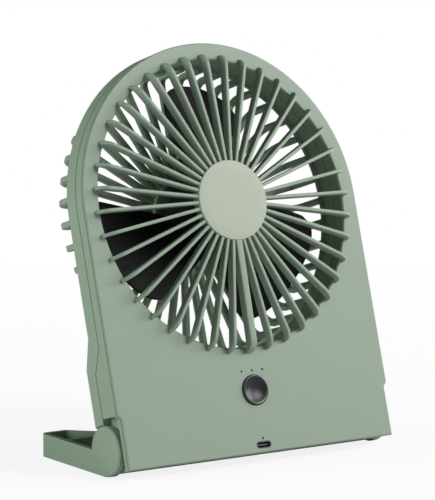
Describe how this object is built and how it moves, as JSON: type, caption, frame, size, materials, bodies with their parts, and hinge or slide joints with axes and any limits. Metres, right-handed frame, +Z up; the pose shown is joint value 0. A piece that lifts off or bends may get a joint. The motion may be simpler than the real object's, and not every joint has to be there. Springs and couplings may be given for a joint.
{
  "type": "portable camping fan",
  "caption": "Leaning panel with a round top and a grilled fan, a round button and a charging port below it, hinged to a flat folding foot.",
  "frame": {"origin": "middle of the overall box's underside, on the ground", "axes": "+Z up, -Y out of the front grille, +X to the right of someone facing the fan"},
  "size_m": [0.17, 0.0988, 0.2124],
  "materials": {
    "shell_green": "fine satin texture, sage green",
    "disc_green": "satin, paler and warmer than the shell",
    "blade_black": "satin black",
    "button_grey": "dark gunmetal, half gloss",
    "clear_plastic": "milky clear rods",
    "inner_plastic": "black glass-filled moulding",
    "switch_black": "black",
    "board": "green circuit board",
    "cell_wrap": "plain blue sleeve",
    "copper": "enamelled copper wire",
    "motor_iron": "laminated and sintered iron, dull",
    "steel": "plain steel",
    "washer": "white nylon",
    "pad_rubber": "black rubber, dull"
  },
  "bodies": {
    "foot": {"foot_frame": "shell_green", "foot_pads": "pad_rubber", "hinge_cap_left": "shell_green", "hinge_cap_right": "shell_green", "hinge_pin_left": "steel", "hinge_pin_right": "steel", "hinge_nut_left": "steel", "hinge_nut_right": "steel"},
    "head": {"front_housing": "shell_green", "rear_cover": "shell_green", "front_grille": "shell_green", "centre_disc": "disc_green", "rear_grille": "shell_green", "motor_base": "inner_plastic", "bearing_front": "steel", "bearing_rear": "steel", "stator_core": "motor_iron", "stator_coils": "copper", "battery_cell_left": "cell_wrap", "battery_cell_right": "cell_wrap", "control_board": "board", "tact_switch": "switch_black", "usb_socket": "steel", "light_pipes": "clear_plastic", "housing_screws": "steel", "board_screws": "steel", "motor_screws": "steel", "hinge_washer_left": "washer", "hinge_washer_right": "washer"},
    "rotor": {"impeller": "blade_black", "rotor_yoke": "steel", "rotor_magnet": "motor_iron", "motor_shaft": "steel"},
    "button": {"power_button": "button_grey"}
  },
  "joints": [
    {"name": "head_tilt", "type": "hinge", "parent": "foot", "child": "head", "pos_m": [0, -0.02979, 0.013], "axis": [-1, 0, 0], "range_deg": [-17, 50]},
    {"name": "fan_spin", "type": "hinge", "parent": "head", "child": "rotor", "pos_m": [0, 0.00493, 0.1263], "axis": [0, 0.9561, -0.293], "continuous": true},
    {"name": "button_press", "type": "slide", "parent": "head", "child": "button", "axis": [0, 0.9561, -0.293], "range_m": [0, 0.0006], "stiffness_N_per_m": 600, "springref_m": -0.001}
  ]
}
